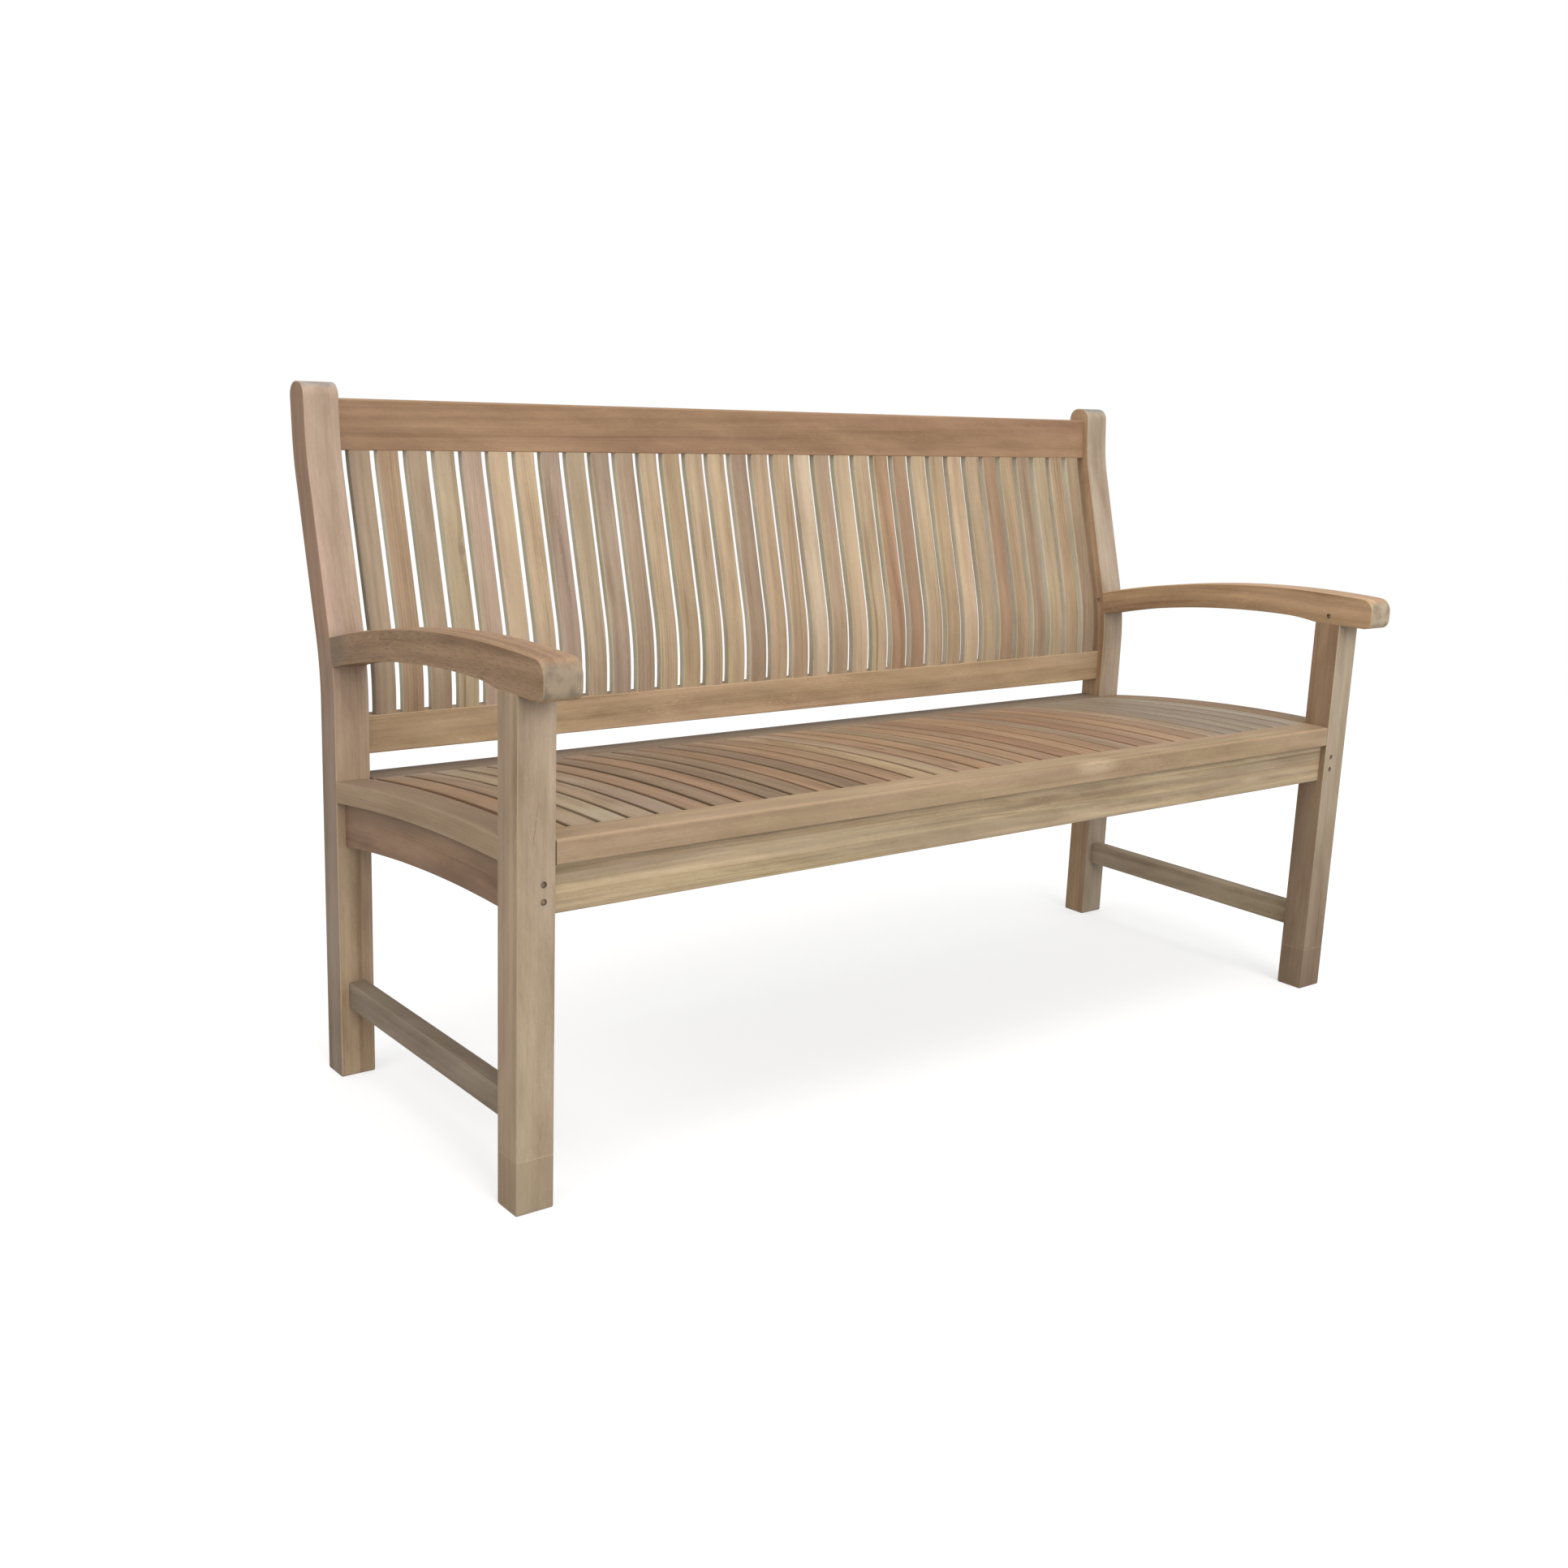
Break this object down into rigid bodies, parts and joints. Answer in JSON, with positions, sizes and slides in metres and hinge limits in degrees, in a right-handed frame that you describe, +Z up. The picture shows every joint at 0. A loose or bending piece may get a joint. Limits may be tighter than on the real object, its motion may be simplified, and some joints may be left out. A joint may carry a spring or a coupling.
{
  "type": "garden bench",
  "caption": "Wooden garden bench for three with a raked slatted back, a curved slatted seat, arched arms and plain square legs.",
  "frame": {"origin": "on the floor, under the middle of the bench's bounding box", "axes": "+X along the bench towards its right-hand end as a viewer in front sees it, -Y towards the viewer, +Z up"},
  "size_m": [1.5, 0.6584, 0.915],
  "materials": {
    "leg_wood": "sanded bare hardwood, matt, grain upright",
    "rail_wood": "sanded bare hardwood, matt, grain along the board",
    "slat_wood": "sanded bare hardwood, matt, tone differs from slat to slat",
    "under_wood": "sanded bare hardwood, greyer and a little rougher",
    "peg_wood": "end grain of a dowel, dark"
  },
  "bodies": {
    "root": {"front_leg_left": "leg_wood", "front_leg_right": "leg_wood", "back_post_left": "leg_wood", "back_post_right": "leg_wood", "arm_left": "rail_wood", "arm_right": "rail_wood", "side_apron_left": "under_wood", "side_apron_right": "under_wood", "side_stretcher_left": "under_wood", "side_stretcher_right": "under_wood", "front_apron": "rail_wood", "rear_apron": "under_wood", "top_rail": "rail_wood", "lower_back_rail": "rail_wood", "seat_front_rail": "rail_wood", "seat_rear_rail": "rail_wood", "seat_end_board_left": "rail_wood", "seat_end_board_right": "rail_wood", "seat_batten": "under_wood", "centre_brace": "under_wood", "joint_pegs": "peg_wood", "back_slat_01": "slat_wood", "back_slat_02": "slat_wood", "back_slat_03": "slat_wood", "back_slat_04": "slat_wood", "back_slat_05": "slat_wood", "back_slat_06": "slat_wood", "back_slat_07": "slat_wood", "back_slat_08": "slat_wood", "back_slat_09": "slat_wood", "back_slat_10": "slat_wood", "back_slat_11": "slat_wood", "back_slat_12": "slat_wood", "back_slat_13": "slat_wood", "back_slat_14": "slat_wood", "back_slat_15": "slat_wood", "back_slat_16": "slat_wood", "back_slat_17": "slat_wood", "back_slat_18": "slat_wood", "back_slat_19": "slat_wood", "back_slat_20": "slat_wood", "back_slat_21": "slat_wood", "back_slat_22": "slat_wood", "back_slat_23": "slat_wood", "back_slat_24": "slat_wood", "back_slat_25": "slat_wood", "back_slat_26": "slat_wood", "back_slat_27": "slat_wood", "back_slat_28": "slat_wood", "back_slat_29": "slat_wood", "back_slat_30": "slat_wood", "back_slat_31": "slat_wood", "back_slat_32": "slat_wood", "back_slat_33": "slat_wood", "back_slat_34": "slat_wood", "seat_slats_1": "slat_wood", "seat_slats_2": "slat_wood", "seat_slats_3": "slat_wood", "seat_slats_4": "slat_wood", "seat_slats_5": "slat_wood"}
  },
  "joints": []
}
